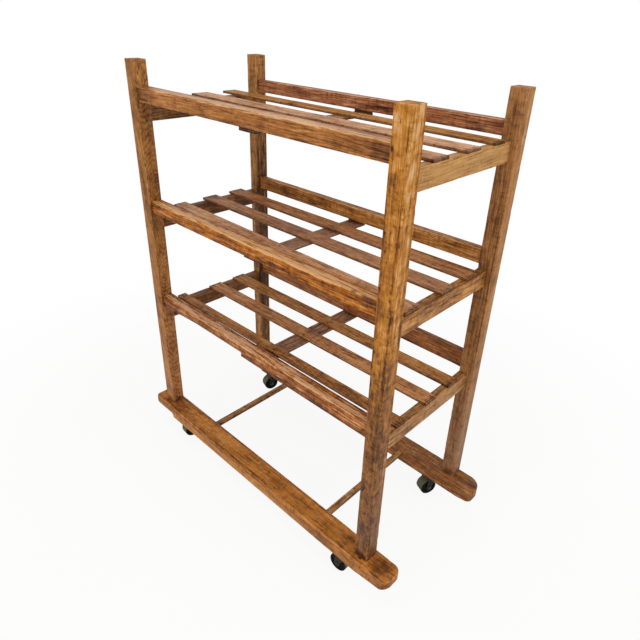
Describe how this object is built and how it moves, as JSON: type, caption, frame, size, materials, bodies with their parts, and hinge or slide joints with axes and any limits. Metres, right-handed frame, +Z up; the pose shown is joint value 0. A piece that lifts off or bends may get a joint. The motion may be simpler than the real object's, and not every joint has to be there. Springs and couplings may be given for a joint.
{
  "type": "bakery bread rack",
  "caption": "Free-standing open wooden rack for bread trays: corner posts on sled-like runners, slatted shelves with raised rails, and swivel casters underneath.",
  "frame": {"origin": "on the floor, under the middle of the outline", "axes": "+X along the runners towards the longer toes, +Y from the open front to the back, +Z up"},
  "size_m": [1.224, 0.55, 1.438],
  "materials": {
    "frame_wood": "oiled, worn honey-brown",
    "slat_wood": "dry, worn reddish brown",
    "nail_iron": "rusted dark",
    "caster_steel": "black, worn",
    "wheel_rubber": "grey-green, worn matt"
  },
  "bodies": {
    "rack": {"back_rail_bottom": "frame_wood", "back_rail_middle": "frame_wood", "back_rail_top": "frame_wood", "bearer_blocks_bottom": "slat_wood", "bearer_blocks_middle": "slat_wood", "bearer_blocks_top": "slat_wood", "bearer_bottom": "slat_wood", "bearer_middle": "slat_wood", "bearer_top": "slat_wood", "caster_kingpins": "caster_steel", "caster_plate_back_left": "caster_steel", "caster_plate_back_right": "caster_steel", "caster_plate_front_left": "caster_steel", "caster_plate_front_right": "caster_steel", "caster_screws": "caster_steel", "end_rail_bottom_left": "frame_wood", "end_rail_bottom_right": "frame_wood", "end_rail_middle_left": "frame_wood", "end_rail_middle_right": "frame_wood", "end_rail_top_left": "frame_wood", "end_rail_top_right": "frame_wood", "front_rail_bottom": "frame_wood", "front_rail_middle": "frame_wood", "front_rail_top": "frame_wood", "nails_bottom": "nail_iron", "nails_middle": "nail_iron", "nails_top": "nail_iron", "post_back_left": "frame_wood", "post_back_right": "frame_wood", "post_front_left": "frame_wood", "post_front_right": "frame_wood", "runner_back": "frame_wood", "runner_front": "frame_wood", "slat_bottom_back": "slat_wood", "slat_bottom_centre": "slat_wood", "slat_bottom_front": "slat_wood", "slat_middle_back": "slat_wood", "slat_middle_centre": "slat_wood", "slat_middle_front": "slat_wood", "slat_top_back": "slat_wood", "slat_top_centre": "slat_wood", "slat_top_front": "slat_wood", "stretcher_left": "frame_wood", "stretcher_right": "frame_wood"},
    "swivel_fork_front_left": {"caster_fork_front_left": "caster_steel", "caster_axle_front_left": "caster_steel"},
    "wheel_front_left": {"caster_wheel_front_left": "wheel_rubber"},
    "swivel_fork_front_right": {"caster_fork_front_right": "caster_steel", "caster_axle_front_right": "caster_steel"},
    "wheel_front_right": {"caster_wheel_front_right": "wheel_rubber"},
    "swivel_fork_back_left": {"caster_fork_back_left": "caster_steel", "caster_axle_back_left": "caster_steel"},
    "wheel_back_left": {"caster_wheel_back_left": "wheel_rubber"},
    "swivel_fork_back_right": {"caster_fork_back_right": "caster_steel", "caster_axle_back_right": "caster_steel"},
    "wheel_back_right": {"caster_wheel_back_right": "wheel_rubber"}
  },
  "joints": [
    {"name": "caster_swivel_front_left", "type": "hinge", "parent": "rack", "child": "swivel_fork_front_left", "pos_m": [-0.451, -0.23625, 0.0895], "axis": [0, 0, 1], "continuous": true},
    {"name": "wheel_roll_front_left", "type": "hinge", "parent": "swivel_fork_front_left", "child": "wheel_front_left", "pos_m": [-0.44954, -0.22233, 0.031], "axis": [-0.9945, 0.1045, 0], "continuous": true},
    {"name": "caster_swivel_front_right", "type": "hinge", "parent": "rack", "child": "swivel_fork_front_right", "pos_m": [0.425, -0.23625, 0.0895], "axis": [0, 0, 1], "continuous": true},
    {"name": "wheel_roll_front_right", "type": "hinge", "parent": "swivel_fork_front_right", "child": "wheel_front_right", "pos_m": [0.41101, -0.23674, 0.031], "axis": [0.0349, -0.9994, 0], "continuous": true},
    {"name": "caster_swivel_back_left", "type": "hinge", "parent": "rack", "child": "swivel_fork_back_left", "pos_m": [-0.455, 0.23625, 0.0895], "axis": [0, 0, 1], "continuous": true},
    {"name": "wheel_roll_back_left", "type": "hinge", "parent": "swivel_fork_back_left", "child": "wheel_back_left", "pos_m": [-0.45933, 0.22294, 0.031], "axis": [0.9511, -0.309, 0], "continuous": true},
    {"name": "caster_swivel_back_right", "type": "hinge", "parent": "rack", "child": "swivel_fork_back_right", "pos_m": [0.43, 0.23625, 0.0895], "axis": [0, 0, 1], "continuous": true},
    {"name": "wheel_roll_back_right", "type": "hinge", "parent": "swivel_fork_back_right", "child": "wheel_back_right", "pos_m": [0.42431, 0.22346, 0.031], "axis": [0.9135, -0.4067, 0], "continuous": true}
  ]
}
